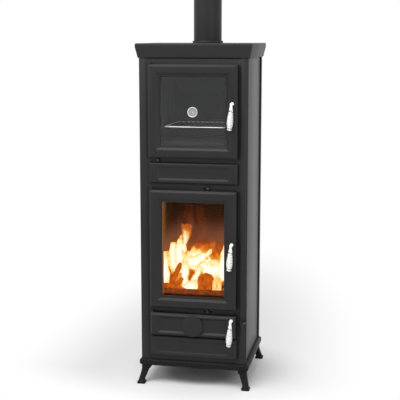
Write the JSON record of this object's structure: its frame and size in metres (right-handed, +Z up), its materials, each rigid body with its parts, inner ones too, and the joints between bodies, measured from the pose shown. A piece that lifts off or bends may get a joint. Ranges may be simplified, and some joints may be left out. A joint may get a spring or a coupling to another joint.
{
  "type": "wood stove with oven",
  "caption": "Tall black cast-front wood stove with an oven over the firebox, glass doors, an ash door with a medallion, coil grips and a flue pipe on top",
  "frame": {"origin": "on the floor below the middle of the whole stove, grips and feet included", "axes": "+Z up, -Y out of the doors, +X to the right as seen from the front"},
  "size_m": [0.483, 0.4894, 1.624],
  "materials": {
    "cast": "satin black stove paint on cast iron",
    "side_sheet": "satin dark grey paint",
    "black_sheet": "matt black heat-proof paint",
    "steel": "dark, plain",
    "oven_lining": "smooth dark enamel",
    "refractory": "rough, cast",
    "chrome": "bright",
    "stove_glass": "clear glass ceramic",
    "rope": "woven rope",
    "dial": "bright rim round a pale face",
    "needle": "satin"
  },
  "bodies": {
    "root": {"base_plate": "cast", "leg_front_left": "cast", "leg_front_right": "cast", "leg_rear_left": "cast", "leg_rear_right": "cast", "side_panel_left": "side_sheet", "side_panel_right": "side_sheet", "rear_panel": "black_sheet", "front_frame": "cast", "middle_panel": "cast", "lower_panel": "cast", "top_casting": "cast", "flue_collar": "cast", "flue_pipe": "black_sheet", "inner_shell": "steel", "oven_box": "oven_lining", "firebox_ceiling": "steel", "baffle_plate": "refractory", "firebrick_back": "refractory", "firebrick_left": "refractory", "firebrick_right": "refractory", "hearth_block": "refractory", "grate": "cast", "log_guard": "cast", "oven_stone": "refractory", "oven_pin_top": "steel", "oven_pin_bottom": "steel", "fire_pin_top": "steel", "fire_pin_bottom": "steel", "ash_pin_top": "steel", "ash_pin_bottom": "steel", "oven_keeper": "steel", "fire_keeper": "steel", "ash_keeper": "steel"},
    "oven_door": {"oven_door_frame": "cast", "oven_door_glass": "stove_glass", "oven_glass_retainer": "steel", "oven_door_gasket": "rope", "oven_thermometer": "dial"},
    "oven_handle": {"oven_latch": "steel", "oven_grip": "chrome"},
    "needle": {"thermometer_needle": "needle"},
    "fire_door": {"fire_door_frame": "cast", "fire_door_glass": "stove_glass", "fire_glass_retainer": "steel", "fire_door_gasket": "rope"},
    "fire_handle": {"fire_latch": "steel", "fire_grip": "chrome"},
    "ash_door": {"ash_door_frame": "cast", "ash_medallion": "cast", "ash_door_gasket": "rope"},
    "ash_handle": {"ash_latch": "steel", "ash_grip": "chrome"},
    "rack": {"oven_rack": "chrome"},
    "pan": {"ash_pan": "steel"},
    "secondary_air": {"secondary_air_slide": "steel"},
    "primary_air": {"primary_air_slide": "steel"},
    "damper": {"damper_rod": "steel"},
    "regulator": {"air_regulator": "steel"}
  },
  "joints": [
    {"name": "oven_door_hinge", "type": "hinge", "parent": "root", "child": "oven_door", "pos_m": [-0.1775, -0.1931, 0.971], "axis": [0, 0, -1], "range_deg": [0, 110]},
    {"name": "oven_handle_turn", "type": "hinge", "parent": "oven_door", "child": "oven_handle", "pos_m": [0.164, -0.1811, 1.196], "axis": [0, 1, 0], "range_deg": [0, 86]},
    {"name": "needle_turn", "type": "hinge", "parent": "oven_door", "child": "needle", "pos_m": [0, -0.1956, 1.16], "axis": [0, 1, 0], "range_deg": [0, 270]},
    {"name": "fire_door_hinge", "type": "hinge", "parent": "root", "child": "fire_door", "pos_m": [-0.175, -0.1931, 0.339], "axis": [0, 0, -1], "range_deg": [0, 110]},
    {"name": "fire_handle_turn", "type": "hinge", "parent": "fire_door", "child": "fire_handle", "pos_m": [0.1648, -0.1811, 0.622], "axis": [0, 1, 0], "range_deg": [0, 86]},
    {"name": "ash_door_hinge", "type": "hinge", "parent": "root", "child": "ash_door", "pos_m": [-0.175, -0.1931, 0.219], "axis": [0, 0, -1], "range_deg": [0, 110]},
    {"name": "ash_handle_turn", "type": "hinge", "parent": "ash_door", "child": "ash_handle", "pos_m": [0.1649, -0.1811, 0.3005], "axis": [0, 1, 0], "range_deg": [0, 86]},
    {"name": "rack_slide", "type": "slide", "parent": "root", "child": "rack", "axis": [0, -1, 0], "range_m": [0, 0.11]},
    {"name": "pan_slide", "type": "slide", "parent": "root", "child": "pan", "axis": [0, -1, 0], "range_m": [0, 0.1]},
    {"name": "secondary_air_shift", "type": "slide", "parent": "root", "child": "secondary_air", "axis": [1, 0, 0], "range_m": [-0.015, 0.015]},
    {"name": "primary_air_shift", "type": "slide", "parent": "root", "child": "primary_air", "axis": [1, 0, 0], "range_m": [-0.015, 0.015]},
    {"name": "damper_pull", "type": "slide", "parent": "root", "child": "damper", "axis": [0, -1, 0], "range_m": [0, 0.06]},
    {"name": "regulator_pull", "type": "slide", "parent": "root", "child": "regulator", "axis": [0, -1, 0], "range_m": [0, 0.03]}
  ],
  "couplings": [
    {"joint": "rack_slide", "follows": "oven_door_hinge", "m_per_rad": 0.055},
    {"joint": "pan_slide", "follows": "ash_door_hinge", "m_per_rad": 0.05}
  ]
}
